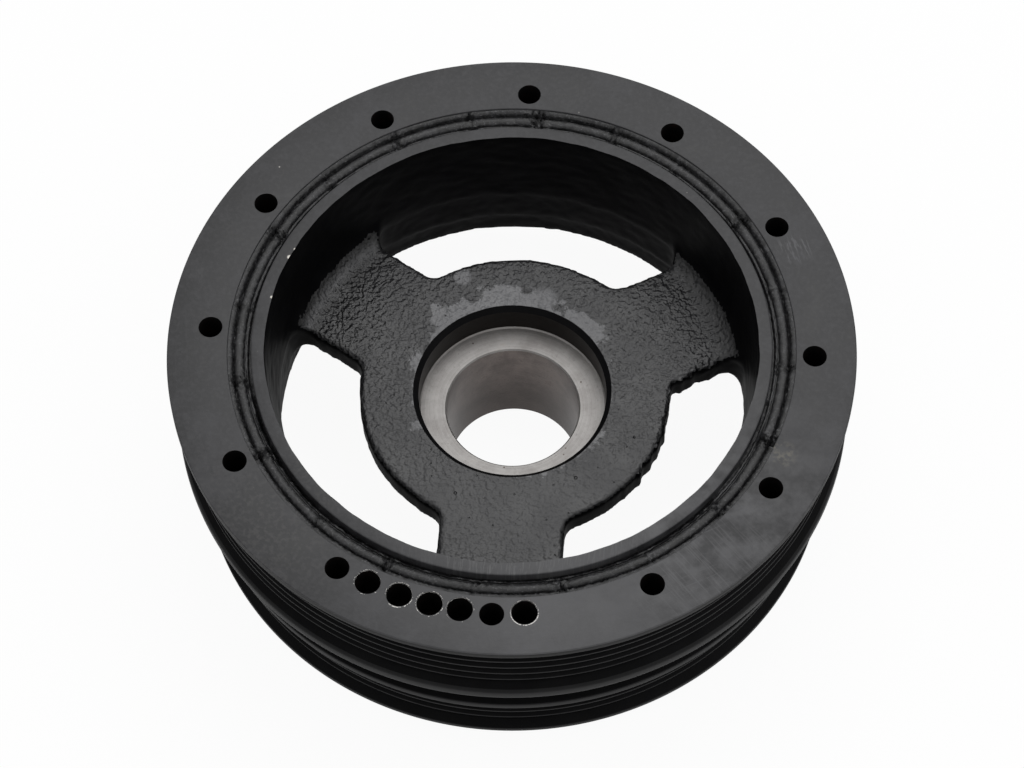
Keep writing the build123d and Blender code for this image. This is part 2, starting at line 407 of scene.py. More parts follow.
def handling_marks_and_painted_sheen(tree, place, tone, clouds, on_rim):
    """Smears and scuffs that handling left on the ring, a painted sheen towards the front, and the rubbed
    front of the rim.
    """
    front = spot(tree, place, (14, -88), 8, 66)
    right_front = spot(tree, place, (52, -60), 12, 56)
    smears = add(tree, "TexNoise", {"Vector": place, "Scale": per_metre(7), "Detail": 4.0,
                                    "Roughness": 0.6})
    smear = add(tree, "MapRange", {"Value": smears.outputs["Fac"], "From Min": 0.4, "From Max": 0.62})
    # The first layer, at the front of the face, is a painted sheen, broken up by the clouds.
    tone = layered(tree, tone, ("#58585a", 1.0, front, clouds),
                   ("#101012", 0.7, right_front, right_front),
                   ("#4a4a4c", 0.8, right_front, smear.outputs["Result"]))
    for centre, full, end, scratch, colour, cover in scuffs:
        where = spot(tree, place, centre, full, end)
        tone = layered(tree, tone, (colour, cover, where, strokes(tree, place, *scratch)))
    rubbed = spot(tree, place, (4, -69.5), 10, 40)
    return layered(tree, tone,
                   ("#505051", 0.8, rubbed, on_rim, strokes(tree, place, 84, 3.5, 0.4, 0.52)))


def dusty(tree, place, tone, clouds, film, on_rim):
    """Dust, lying in two places and thinly all over, then bright chips on the rim and stray dots."""
    lying = spot(tree, place, (71.7, -36.8), 2.5, 4.8)
    settled = spot(tree, place, (-70, -56), 4, 30)
    tone = layered(tree, tone, ("#56534b", 0.9, lying, film), ("#454340", 0.25, settled, film),
                   ("#424244", 0.4, film, clouds))
    for x, y, size in rim_chips:
        tone = layered(tree, tone, ("#d0ccc4", 1.0, spot(tree, place, (x, y), 0.6 * size, size), on_rim))
    return layered(tree, tone, ("#b3b0aa", 1.0, rare_dots(tree, place, 5.0, 0.3, 0.14), film))


# %% Black electrocoat on turned iron
def coated_turned_iron():
    """Thin satin black coat on a turned face, cloudy, lightly scuffed and dusty, with a painted sheen
    towards the front.
    """
    material, tree, place = start_material("black_electrocoat_on_turned_iron")
    radius = radius_and_height(tree, place)[0]
    on_rim = add(tree, "Math", {0: radius, 1: rim_outer_radius * MM}, operation="LESS_THAN").outputs[0]
    clouds = add(tree, "TexNoise", {"Vector": place, "Scale": per_metre(16), "Detail": 8.0,
                                    "Roughness": 0.72}).outputs["Fac"]
    grains = add(tree, "TexNoise", {"Vector": place, "Scale": per_metre(1.2), "Detail": 5.0}).outputs["Fac"]
    film = add(tree, "MapRange", {"Value": grains, "From Min": 0.46, "From Max": 0.66}).outputs["Result"]
    tone = add(tree, "ValToRGB", {"Fac": clouds},
               ((0.38, "#161618"), (0.5, "#202022"), (0.62, "#313133"))).outputs["Color"]
    # Handling marks, and a painted sheen that lightens the front of the face.
    tone = handling_marks_and_painted_sheen(tree, place, tone, clouds, on_rim)
    tone = dusty(tree, place, tone, clouds, film, on_rim)
    rings = add(tree, "Bump", {"Height": turning_lines(tree, place, coated_pitch), "Strength": 0.35,
                               "Distance": 0.02 * MM})
    grit = add(tree, "Bump", {"Height": grains, "Strength": 0.5, "Distance": 0.08 * MM,
                              "Normal": rings.outputs["Normal"]})
    rough = add(tree, "MapRange", {"Value": clouds, "From Min": 0.35, "From Max": 0.65,
                                   "To Min": 0.38, "To Max": 0.55})
    shader = add(tree, "BsdfPrincipled", {"Base Color": tone, "Roughness": rough.outputs["Result"],
                                          "Specular IOR Level": 0.38, "Normal": grit.outputs["Normal"]})
    add(tree, "OutputMaterial", {"Surface": shader.outputs[0]})
    return material


coated_turned = coated_turned_iron()
print("finish:", coated_turned.name)

# %% [markdown]
# ### Where the coat lies dull, and where shade is painted
# The bottoms of the belt grooves are nearly black, from belt dust and painted shade, and the belts
# polish the tips of the ribs a little. On the rough upright walls of the casting the coat is
# duller still, and its near black there is painted shade. It is one finish, made three times with
# its own tones and gloss.

# %% The dull coat
def dull_black(name, dark, light, specular):
    """Matt, nearly black coat, in the belt grooves and on the rough upright walls, where its darkest tones
    are painted shade.
    """
    material, tree, place = start_material(name)
    clouds = add(tree, "TexNoise", {"Vector": place, "Scale": per_metre(7), "Detail": 5.0})
    grain = add(tree, "TexNoise", {"Vector": place, "Scale": per_metre(1.4), "Detail": 3.0})
    tone = add(tree, "ValToRGB", {"Fac": clouds.outputs["Fac"]}, ((0.35, dark), (0.7, light)))
    bump = add(tree, "Bump", {"Height": grain.outputs["Fac"], "Strength": 0.5, "Distance": 0.1 * MM})
    shader = add(tree, "BsdfPrincipled", {"Base Color": tone.outputs["Color"], "Roughness": 0.55,
                                          "Normal": bump.outputs["Normal"],
                                          "Specular IOR Level": specular})
    add(tree, "OutputMaterial", {"Surface": shader.outputs[0]})
    return material


# Nearly black in the grooves: belt dust, made darker still by painted shade.
belt_dust_and_painted_shade = dull_black("black_electrocoat_with_belt_dust_and_painted_shade", "#060607", "#0c0c0d", 0.06)
belt_land = dull_black("black_electrocoat_polished_by_belts", "#0a0a0b", "#131314", 0.16)
# The near black of the rough upright walls is painted shade.
upright_wall_painted_shade = dull_black("black_electrocoat_on_rough_wall_in_painted_shade", "#060607", "#0b0b0c", 0.02)
print("finishes:", belt_dust_and_painted_shade.name, belt_land.name, upright_wall_painted_shade.name)

# %% [markdown]
# ### Black electrocoat on a sand casting
# Sand leaves the iron pebbled and pitted, and the same coat lies over that. Round the
# counterbore it is so thin that grey shows through in a ragged ring. The ring is the radius
# disturbed by two noises, one fine and one broad, which makes islands and bays as wear does.

# %% Thin patches of coat
thin_ends, thin_is_full = 51.8, 50.2      # of the radius after the noises have disturbed it
# Each island: its place, how far it is full and where it ends.
pale_islands = ((-13.6, 37.8, 2.1, 2.9), (9.8, 30.3, 1.8, 4.2))


def thin_coat(tree, place, tone, radius, height, along):
    """Grey iron where the coat is thin: the ragged ring on the web's face, and two islands."""
    uneven = add(tree, "TexNoise", {"Vector": place, "Scale": per_metre(3.5), "Detail": 5.0,
                                    "Roughness": 0.7}).outputs["Fac"]
    broad = add(tree, "TexNoise", {"Vector": place, "Scale": per_metre(12), "Detail": 2.0}).outputs["Fac"]
    reach = radius
    for cause, weight in ((uneven, 20 * MM), (broad, 26 * MM), (along, -0.12)):
        reach = add(tree, "Math", {0: cause, 1: weight, 2: reach}, operation="MULTIPLY_ADD").outputs[0]
    thin = add(tree, "MapRange", {"Value": reach, "From Min": thin_ends * MM,
                                  "From Max": thin_is_full * MM})
    on_face = add(tree, "Math", {0: height, 1: web_face - 1.1 * MM}, operation="GREATER_THAN").outputs[0]
    tone = layered(tree, tone, ("#69696b", 0.7, thin.outputs["Result"], on_face))
    for x, y, inner, outer in pale_islands:
        island = spot(tree, place, (x, y), inner, outer, web_depth)
        tone = layered(tree, tone, ("#606062", 0.75, island, on_face))
    return tone


def painted_light_on_left_spoke(tree, tone, across, height):
    """Painted shade that darkens the left spoke, and a painted highlight in a band where its root fillet
    begins.
    """
    left = add(tree, "MapRange", {"Value": across, "From Min": -30 * MM,
                                  "From Max": -46 * MM}).outputs["Result"]
    rise = add(tree, "MapRange", {"Value": height, "From Min": web_face + 0.3 * MM,
                                  "From Max": web_face + 0.9 * MM}).outputs["Result"]
    fall = add(tree, "MapRange", {"Value": height, "From Min": web_face + 2.4 * MM,
                                  "From Max": web_face + 1.2 * MM}).outputs["Result"]
    # 060608 is painted shade over the left spoke, and #3c3c3e a painted highlight along its root fillet.
    return layered(tree, tone, ("#060608", 0.8, left, left), ("#3c3c3e", 0.75, rise, fall, left))


# %% Black electrocoat on a sand casting
def steepness(tree, radius):
    """0 where the skin lies flat and 1 where it stands upright, outside the machined middle."""
    tilt = add(tree, "SeparateXYZ", {"Vector": add(tree, "TexCoord").outputs["Normal"]}).outputs["Z"]
    level = add(tree, "Math", {0: tilt}, operation="ABSOLUTE").outputs[0]
    steep = add(tree, "MapRange", {"Value": level, "From Min": 0.9, "From Max": 0.55})
    outside = add(tree, "Math", {0: radius, 1: machined_radius * MM}, operation="GREATER_THAN")
    return add(tree, "Math", {0: steep.outputs["Result"], 1: outside.outputs[0]},
               operation="MULTIPLY").outputs[0]


def pebbled(tree, place, radius, along):
    """The sand's pebbles as a height. They are coarser near the rim and finer at the front."""
    pebbles = add(tree, "TexNoise", {"Vector": place, "Scale": per_metre(1.3), "Detail": 1.0,
                                     "Roughness": 0.5})
    near_rim = add(tree, "MapRange", {"Value": radius, "From Min": 40 * MM, "From Max": 58 * MM,
                                      "To Min": 1.3, "To Max": 1.9})
    behind = add(tree, "MapRange", {"Value": along, "From Min": -32 * MM, "From Max": -12 * MM,
                                    "To Min": 0.6, "To Max": 1.0})
    height = pebbles.outputs["Fac"]
    for amount in (near_rim, behind):
        height = add(tree, "Math", {0: height, 1: amount.outputs["Result"]},
                     operation="MULTIPLY").outputs[0]
    return height


def coated_sand_casting():
    """Satin black coat over the pebbled and pitted skin, rougher and darkened by painted shade where the
    skin turns upright.
    """
    material, tree, place = start_material("black_electrocoat_on_sand_casting")
    radius, height = radius_and_height(tree, place)
    sides = add(tree, "SeparateXYZ", {"Vector": place})
    clouds = add(tree, "TexNoise", {"Vector": place, "Scale": per_metre(10), "Detail": 5.0,
                                    "Roughness": 0.6}).outputs["Fac"]
    tone = add(tree, "ValToRGB", {"Fac": clouds},
               ((0.3, "#121214"), (0.55, "#19191b"), (0.75, "#232325"))).outputs["Color"]
    tone = thin_coat(tree, place, tone, radius, height, sides.outputs["Y"])
    # Painted shade on the left spoke and a painted highlight on its root fillet.
    tone = painted_light_on_left_spoke(tree, tone, sides.outputs["X"], height)
    steep = steepness(tree, radius)
    pits = add(tree, "Math", {0: rare_dots(tree, place, 4.2, 0.55, 0.12),
                              1: rare_dots(tree, place, 2.1, 0.3, 0.2)}, operation="MAXIMUM").outputs[0]
    # Painted shade darkens the skin where it turns upright; the pits are the skin's own dark pores.
    tone = layered(tree, tone, ("#09090a", 1.0, steep), ("#050506", 0.8, pits, pits))
    skin = add(tree, "Bump", {"Height": pebbled(tree, place, radius, sides.outputs["Y"]),
                              "Strength": 0.9, "Distance": 0.42 * MM})
    pitted = add(tree, "Bump", {"Height": pits, "Strength": 1.0, "Distance": 0.4 * MM,
                                "Normal": skin.outputs["Normal"]}, invert=True)
    satin = add(tree, "MapRange", {"Value": clouds, "From Min": 0.3, "From Max": 0.7,
                                   "To Min": 0.32, "To Max": 0.46})
    rough = add(tree, "Mix", {0: steep, 2: satin.outputs["Result"], 3: 0.75}, data_type="FLOAT")
    shader = add(tree, "BsdfPrincipled", {"Base Color": tone, "Roughness": rough.outputs[0],
                                          "Specular IOR Level": 0.5, "Normal": pitted.outputs["Normal"]})
    add(tree, "OutputMaterial", {"Surface": shader.outputs[0]})
    return material


coated_casting = coated_sand_casting()
print("finish:", coated_casting.name)

# %% [markdown]
# ### Bare iron
# Seat, bore and snout fit other parts, so they were turned after the coat and left bare: a dull
# grey metal with fine lines from the tool, open pores and a little rust. The same finish serves
# four times, for the turned faces, the bore, which painted shade makes darker deeper down, the
# counterbore's wall, darkened by painted shade, and the fresh burrs. It is a true metal, so it
# takes its light and dark from what it mirrors, besides that painted shade.

# %% Bare turned cast iron
shade_begins, shade_is_full = 40, 60      # depths between which painted shade makes the bore darker


def bare_turned_iron(name, light, dark, roughness, rust, deep_painted_shade=0.0):
    """Grey iron as the tool left it, with fine lines, open pores and painted shade deep in the bore."""
    material, tree, place = start_material(name)
    lines = turning_lines(tree, place, bare_pitch)
    film = add(tree, "TexNoise", {"Vector": place, "Scale": per_metre(6), "Detail": 6.0,
                                  "Roughness": 0.65}).outputs["Fac"]
    grain = add(tree, "TexNoise", {"Vector": place, "Scale": per_metre(0.7), "Detail": 3.0}).outputs["Fac"]
    mixed = add(tree, "Mix", {0: 0.3, 2: film, 3: lines}, data_type="FLOAT").outputs[0]
    tone = add(tree, "ValToRGB", {"Fac": mixed}, ((0.35, dark), (0.62, light))).outputs["Color"]
    rusty = add(tree, "MapRange", {"Value": film, "From Min": 0.58, "From Max": 0.72}).outputs["Result"]
    pores = add(tree, "MapRange", {"Value": grain, "From Min": 0.56, "From Max": 0.7}).outputs["Result"]
    # Painted shade, darker the deeper it lies in the bore.
    deep = add(tree, "MapRange", {"Value": radius_and_height(tree, place)[1],
                                  "From Min": (front_z - shade_begins) * MM,
                                  "From Max": (front_z - shade_is_full) * MM, "To Max": deep_painted_shade})
    tone = layered(tree, tone, (rust, 0.6, rusty, rusty), (dark, 0.8, pores, pores),
                   ("#4a413b", 1.0, rare_dots(tree, place, 2.8, 0.3, 0.25)),
                   ("#241f1d", 1.0, deep.outputs["Result"]))
    rings = add(tree, "Bump", {"Height": lines, "Strength": 0.4, "Distance": 0.03 * MM})
    grainy = add(tree, "Bump", {"Height": grain, "Strength": 0.5, "Distance": 0.05 * MM,
                                "Normal": rings.outputs["Normal"]})
    shader = add(tree, "BsdfPrincipled", {"Base Color": tone, "Metallic": 1.0, "Roughness": roughness,
                                          "Normal": grainy.outputs["Normal"]})
    add(tree, "OutputMaterial", {"Surface": shader.outputs[0]})
    return material


bare_turned = bare_turned_iron("bare_turned_cast_iron", "#989694", "#807d7b", 0.56, "#80776f")
# The bore takes painted shade towards its bottom.
bare_bored = bare_turned_iron("bare_bored_cast_iron", "#6a615d", "#4a4340", 0.42, "#45362f", 0.75)
# The counterbore's wall: bare iron darkened as painted shade.
bored_in_painted_shade = bare_turned_iron("bored_cast_iron_in_painted_shade", "#2a2624", "#1b1816", 0.45, "#2b201c")
fresh_iron = bare_turned_iron("fresh_drilled_cast_iron", "#f6f4f0", "#e4e1dc", 0.3, "#d6d0c8")
print("finishes:", bare_turned.name, bare_bored.name, bored_in_painted_shade.name, fresh_iron.name)

# %% [markdown]
# ### Rusted holes and moulded rubber
# A drilled hole gets no coat, so its iron is bare with a little red rust, and it is painted nearly
# black as shade, for the little light that gets in. The rubber comes from a steel mould: satin on
# its bead, with a grey bloom and crumbs of flash. A small bump with the same noise as the crumbs
# lets them catch the light.

# %% Drilled holes and moulded rubber
def drilled_iron():
    """Inside a drilled hole: bare iron painted nearly black as shade, and a little red with rust."""
    material, tree, place = start_material("drilled_iron_with_rust_in_painted_shade")
    patches = add(tree, "TexNoise", {"Vector": place, "Scale": per_metre(2.5), "Detail": 4.0})
    # The near black is painted shade; the redder patches are rust.
    tone = add(tree, "ValToRGB", {"Fac": patches.outputs["Fac"]},
               ((0.45, "#040404"), (0.62, "#0c0706"), (0.78, "#1e0e0c")))
    shader = add(tree, "BsdfPrincipled", {"Base Color": tone.outputs["Color"], "Roughness": 0.75,
                                          "Specular IOR Level": 0.1})
    add(tree, "OutputMaterial", {"Surface": shader.outputs[0]})
    return material


def moulded_rubber():
    """Black rubber from the mould: satin on the bead, with a slight bloom and crumbs of flash."""
    material, tree, place = start_material("moulded_black_rubber")
    skin = add(tree, "TexNoise", {"Vector": place, "Scale": per_metre(0.7), "Detail": 4.0,
                                  "Roughness": 0.65}).outputs["Fac"]
    bloom = add(tree, "TexNoise", {"Vector": place, "Scale": per_metre(4), "Detail": 6.0,
                                   "Roughness": 0.7}).outputs["Fac"]
    tone = add(tree, "ValToRGB", {"Fac": bloom},
               ((0.38, "#0f0f10"), (0.52, "#1b1b1c"), (0.65, "#2d2d2f"))).outputs["Color"]
    crumbs = add(tree, "MapRange", {"Value": skin, "From Min": 0.56, "From Max": 0.66})
    tone = layered(tree, tone, ("#545456", 1.3, crumbs.outputs["Result"], bloom))
    bump = add(tree, "Bump", {"Height": skin, "Strength": 0.8, "Distance": 0.2 * MM})
    shader = add(tree, "BsdfPrincipled", {"Base Color": tone, "Roughness": 0.42,
                                          "Specular IOR Level": 0.4, "Normal": bump.outputs["Normal"]})
    add(tree, "OutputMaterial", {"Surface": shader.outputs[0]})
    return material


drilled = drilled_iron()
rubber = moulded_rubber()
print("finishes:", drilled.name, rubber.name)

# %% [markdown]
# ## Inertia ring
# The heavy outer ring is one iron casting turned all over. Its rim carries two rows of V grooves
# for ribbed belts, with a wide channel between them. The outline is turned finely, so that the
# rib tips get the small radius that wear gives them, and each finish is then painted on the
# faces that lie at its radius and depth.

# %% Paint by place
def paint(piece, material, chosen):
    """Gives the material to the faces whose middle passes a test of radius and depth."""
    mesh = piece.data
    middles = np.empty(len(mesh.polygons) * 3)
    mesh.polygons.foreach_get("center", middles)
    x, y, z = middles.reshape(-1, 3).T / MM
    slots = np.empty(len(mesh.polygons), dtype=np.int32)
    mesh.polygons.foreach_get("material_index", slots)
    if material.name not in mesh.materials:
        mesh.materials.append(material)
    slots[chosen(np.hypot(x, y), front_z - z)] = mesh.materials.find(material.name)
    mesh.polygons.foreach_set("material_index", slots)


# %% Sizes of the inertia ring
rib_pitch = 3.56
rib_height = 3.3
groove_root = 0.6
groove_half_angle = math.radians(20)
tip_rounding = 0.15
front_tip_radius = face_radius - 2.5
middle_flange_radius = face_radius - 0.5
channel_radius = face_radius - 9.0
rear_flange_radius = face_radius - 3.7
rear_tip_radius = face_radius - 6.3
back_flange_radius = face_radius - 4.5
relief_radius = ring_bore_radius + 2.6
relief_depth = ring_length - 12.0         # where the relief in the back of the bore begins
relief_slope = 2.6                        # and how far along the ring it takes to widen
first_groove = 4.77
front_grooves = 6
middle_flange_depth = 28.7
channel_end_depth = 39.8
channel_side = 1.5                        # how far the channel's sides slope along the ring
first_rear_groove = 44.55
rear_grooves = 4
print("grooves:", front_grooves, "in front and", rear_grooves, "behind, every", rib_pitch, "mm")

# %% Turn the inertia ring
def belt_grooves(tip_radius, first_depth, count, flange_before, flange_after):
    """Corners of a row of V grooves, from the flange before it to the flange after it."""
    root_radius = tip_radius - rib_height
    corners = []
    for step in range(count):
        middle = first_depth + step * rib_pitch
        before, before_round = (tip_radius, tip_rounding) if step else flange_before
        after, after_round = (tip_radius, tip_rounding) if step < count - 1 else flange_after
        before_half, after_half = (groove_root / 2 + (radius - root_radius) * math.tan(groove_half_angle)
                                   for radius in (before, after))
        corners += [(before, middle - before_half, before_round), (root_radius, middle - groove_root / 2),
                    (root_radius, middle + groove_root / 2), (after, middle + after_half, after_round)]
    return corners


front_row = belt_grooves(front_tip_radius, first_groove, front_grooves,
                         (face_radius, 0.25), (middle_flange_radius, 1.2))
rear_row = belt_grooves(rear_tip_radius, first_rear_groove, rear_grooves,
                        (rear_flange_radius, 0.5), (back_flange_radius, 0.3))
ring_outline = soften([
    (ring_bore_radius, 0, 0.3), (face_radius, 0, 0.35),
    *front_row,
    (middle_flange_radius, middle_flange_depth, 1.2),
    (channel_radius, middle_flange_depth + channel_side, 2.5),
    (channel_radius, channel_end_depth - channel_side, 2.5),
    (rear_flange_radius, channel_end_depth, 0.5),
    *rear_row,
    (back_flange_radius, ring_length, 0.4), (relief_radius, ring_length, 0.3),
    (relief_radius, relief_depth + relief_slope), (ring_bore_radius, relief_depth),
])
inertia_ring = make_piece("inertia_ring_turned", [turn(ring_outline, 720)], coated_turned)
print("inertia ring:", len(ring_outline), "points in its outline,", count_triangles(inertia_ring),
      "triangles")

# %% Paint the belt side
front_ribs = (2.0, 25.0)                  # depths between which the front ribs lie
rear_ribs = (42.0, ring_length - 1.8)
polished_tip = 0.12                       # height of the strip that a belt polishes on a rib
crowns = ((0.4, front_ribs[0]), (front_ribs[1], 29.2),
          (channel_end_depth, rear_ribs[0]), (rear_ribs[1], ring_length))

# The grooves get the coat with belt dust and painted shade.
paint(inertia_ring, belt_dust_and_painted_shade,
      lambda radius, depth: (radius > channel_radius - 1.5) & (depth > 0.4))
for tip_radius, (start, end) in ((front_tip_radius, front_ribs), (rear_tip_radius, rear_ribs)):
    paint(inertia_ring, belt_land,
          lambda radius, depth: (radius > tip_radius - polished_tip) & (depth > start) & (depth < end))
paint(inertia_ring, belt_land, lambda radius, depth: (radius > rear_tip_radius)
      & np.any([(depth > start) & (depth < end) for start, end in crowns], 0))
print("finishes on the ring:", [m.name for m in inertia_ring.data.materials])

# %% [markdown]
# ### Holes in the front face
# Twelve evenly spaced holes, and five close together, were drilled to handle and balance the
# ring. They are cut as on the real one, by taking a pointed drill out of the solid. Dark discs
# would do for one view, but a real hole shows its wall. The new faces keep the drill's finish.

# %% Cutting
def apply_modifiers(piece):
    """Replaces the piece's mesh by what its modifiers make of it."""
    shaped = piece.evaluated_get(bpy.context.evaluated_depsgraph_get())
    mesh = bpy.data.meshes.new_from_object(shaped)
    piece.modifiers.clear()
    piece.data = mesh


def cut(piece, tool):
    """Takes the tool's space out of the piece. The new faces keep the tool's material."""
    boolean = piece.modifiers.new("cut", "BOOLEAN")
    boolean.operation = "DIFFERENCE"
    boolean.solver = "MANIFOLD"
    boolean.material_mode = "TRANSFER"
    boolean.object = tool
    apply_modifiers(piece)
    bpy.data.objects.remove(tool)


# %% Drill the holes
hole_circle_radius = ring_bore_radius + 5.1
balance_circle_radius = ring_bore_radius + 4.6
hole_radius, hole_depth = 3.3, 16.0
balance_radius, balance_depth = 3.45, 12.0
first_hole_angle = 25.47
hole_angles = [first_hole_angle + 30 * step for step in range(12)]
balance_angles = [241.82, 248.14, 253.99, 259.63, 271.4]
point_slope = math.tan(math.radians(118 / 2))


def on_circle(radius, angle):
    """Place on a circle round the axis, with the angle in degrees."""
    return radius * math.cos(math.radians(angle)), radius * math.sin(math.radians(angle))


def drill(radius, depth, centre):
    """Space that a drill with a 118 degree point takes out. It starts above the face."""
    start = -1
    point = depth + radius / point_slope
    return turn([(0, start), (radius, start), (radius, depth), (0, point)], 64, centre=centre)


drills = [drill(hole_radius, hole_depth, on_circle(hole_circle_radius, angle))
          for angle in hole_angles]
drills += [drill(balance_radius, balance_depth, on_circle(balance_circle_radius, angle))
           for angle in balance_angles]
cut(inertia_ring, make_piece("drills", drills, drilled))
smooth_between(inertia_ring, 32)
print("drilled", len(drills), "holes:", count_triangles(inertia_ring), "triangles")

# %% [markdown]
# ### Burrs
# The balance holes were drilled last, through the coat, and the drill threw up bright torn
# edges. Each burr is a thin turned ring. Its crest rises and falls with noise round the hole,
# and sinks into the face where the burr has broken off.

# %% Burrs on the balance holes
burr_height = 0.24
burr_outline = [(balance_radius - 0.02, 0.2), (balance_radius + 0.5, 0.2),
                (balance_radius + 0.16, -burr_height)]
burr_amounts = (-0.3, 0.0, 0.05, -0.05, 0.4)      # how much of each burr stands


def noise_round(angle, radius, size, seed):
    """Smooth noise from -1 to 1 over a ring of points, with bumps of this size in millimetres."""
    x, y = (radius * np.cos(angle) / size).ravel(), (radius * np.sin(angle) / size).ravel()
    return np.array([noise.noise((u, v, seed)) for u, v in zip(x, y)]).reshape(radius.shape)


def ragged_burr(seed, amount):
    """A crumbling edge: its crest comes and goes round the hole."""
    def shift(angle, radius, depth):
        crest = depth < 0
        edge = np.full_like(radius, balance_radius)
        broad = noise_round(angle, edge, size=2.6, seed=seed) + amount
        crumbs = noise_round(angle, edge, size=0.3, seed=seed + 5)
        height = np.clip(2.2 * broad + 1.6 * crumbs, -0.3, 1) * burr_height
        return radius + 0.16 * crumbs * crest, np.where(crest, -height, depth)
    return shift


def join(piece, other):
    """Adds the other object's mesh and materials to the piece."""
    with bpy.context.temp_override(active_object=piece, selected_editable_objects=[piece, other]):
        bpy.ops.object.join()


burrs = [turn(burr_outline, 200, ragged_burr(10 * index, amount), on_circle(balance_circle_radius, angle))
         for index, (angle, amount) in enumerate(zip(balance_angles, burr_amounts))]
join(inertia_ring, make_piece("burrs", burrs, fresh_iron))
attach(inertia_ring, "root")
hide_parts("inertia_ring")
print("with burrs:", count_triangles(inertia_ring), "triangles")

# %% [markdown]
# ## Rubber ring
# The rubber was moulded between the hub and the inertia ring. In front it shows a low bead
# between two moulded lines, a lip against the inertia ring, and a channel beside the rim that is
# deep and torn on one side. Twenty marks show where the flows of rubber met in the mould. The
# outline is turned in fine steps, and noise moves its points, since rubber tears unevenly.

# %% Outline of the rubber ring
rim_channel = [(rim_outer_radius, 3.0), (72.1, 3.0), (72.35, 2.1)]
inner_line = [(72.6, 1.8), (72.95, 1.85), (73.1, 2.35), (73.3, 2.35)]
bead = [(73.5, 1.75), (73.9, 1.38), (74.4, 1.18), (74.9, 1.12), (75.4, 1.2), (75.8, 1.42), (76.1, 1.85)]
outer_line = [(76.3, 2.35), (76.5, 2.2)]
outer_lip = [(76.65, 1.3), (76.9, 0.75), (77.4, 0.5), (ring_bore_radius, 0.45)]
rubber_back = [(ring_bore_radius, rubber_back_depth), (rim_outer_radius, rubber_back_depth)]
rubber_outline = rim_channel + inner_line + bead + outer_line + outer_lip + rubber_back
channel_middle, bead_middle, lip_middle = 72.1, 74.8, 76.6
knit_angles = (12, 30.5, 50, 66, 83, 98, 115, 133, 150, 169,
               188, 206, 226, 243, 262, 279, 298, 316, 335, 353)
knit_strengths = (0.6, 1.1, 0.4, 0.9, 1.3, 0.7, 1.0) * 3
torn_from, torn_to, torn_fade = 185, 325, 15
shallowest = 0.15             # nothing that the noise moves comes nearer to the front face
print("rubber outline:", len(rubber_outline), "points,", len(knit_angles), "marks round it")

# %% Rubber ring
def worn_rubber(angle, radius, depth):
    """Moves the moulded outline: a wandering bead, a torn channel and the marks of the flows."""
    loose = (depth < 4) & (radius > rim_outer_radius + 0.1) & (radius < ring_bore_radius - 0.1)
    wander = noise_round(angle, np.full_like(radius, bead_middle), size=20, seed=1.0)
    ragged = noise_round(angle, radius, size=1.3, seed=2.0)
    crumbs = noise_round(angle, radius, size=0.55, seed=6.0)
    waves = noise_round(angle, radius, size=4.0, seed=3.0)
    degrees = np.degrees(angle) % 360
    torn = np.clip(np.minimum(degrees - torn_from, torn_to - degrees) / torn_fade, 0, 1)
    knit = sum(strength * np.exp(-((degrees - middle) / (0.9 + 0.6 * strength)) ** 2)
               for middle, strength in zip(knit_angles, knit_strengths))
    lip = np.exp(-((radius - lip_middle) / 0.45) ** 2)
    channel = np.exp(-((radius - channel_middle) / 0.35) ** 2)
    sideways = (0.18 * wander + 0.15 * ragged * (1 + 2 * torn * channel)
                + 0.12 * crumbs * (lip + knit))
    inwards = (0.14 * waves + 0.14 * ragged + 0.5 * crumbs * lip
               + knit * (0.3 + 0.8 * ragged + 1.3 * crumbs) * (radius > 72.8)
               + torn * channel * (1.3 + 0.9 * ragged + 0.5 * crumbs))
    return radius + loose * sideways, np.maximum(depth + loose * inwards, shallowest)


rubber_ring = make_piece("rubber_ring_moulded", [turn(rubber_outline, 1440, worn_rubber)], rubber)
smooth_between(rubber_ring, 60)
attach(rubber_ring, "root")
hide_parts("rubber_ring")
print("rubber ring:", count_triangles(rubber_ring), "triangles")

# %% [markdown]
# ## Hub
# The hub is a sand casting that was then turned. It is made here in the same order. The blank
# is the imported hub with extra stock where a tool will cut, remeshed into small even faces, and
# its skin is roughened as sand leaves it. Bump alone would be quicker, but the windows' edges
# would then stay smooth against the white ground. Last, the lathe tools take the stock off, so
# the machined edges are crisp, and they run unevenly where they meet the rough skin.

# %% Sizes of the hub
web_back_depth = 34.4
seat_depth = 36.1
seat_edge = 0.4                # small slope that the tool's corner leaves round the seat
counterbore_radius = 26.5
counterbore_chamfer = 1.45
bore_radius = 18.85
bore_chamfer = 0.4
snout_radius = 24.6
snout_chamfer = 1.5
boss_end_depth = 50.0
boss_end_radius = 30.5
rim_back_height = 25.3         # of the rim's back face over the end of the snout
rim_length = front_z - rim_back_height
rim_mouth_radius = 67.8
wall_foot = 62                 # radius where the rim's inner wall starts to rise from the web
chips_begin = 40               # the windows' edges are chipped from this radius to the wall
pebbles_grow = 38              # and the pebbles grow from this one towards the wall
stock = 1.0                    # how far the blank stands proud where it will be turned
voxel = 0.9                    # width of the blank's small faces
print("hub: rim", round(rim_length, 2), "mm long, seat", seat_depth, "mm deep")

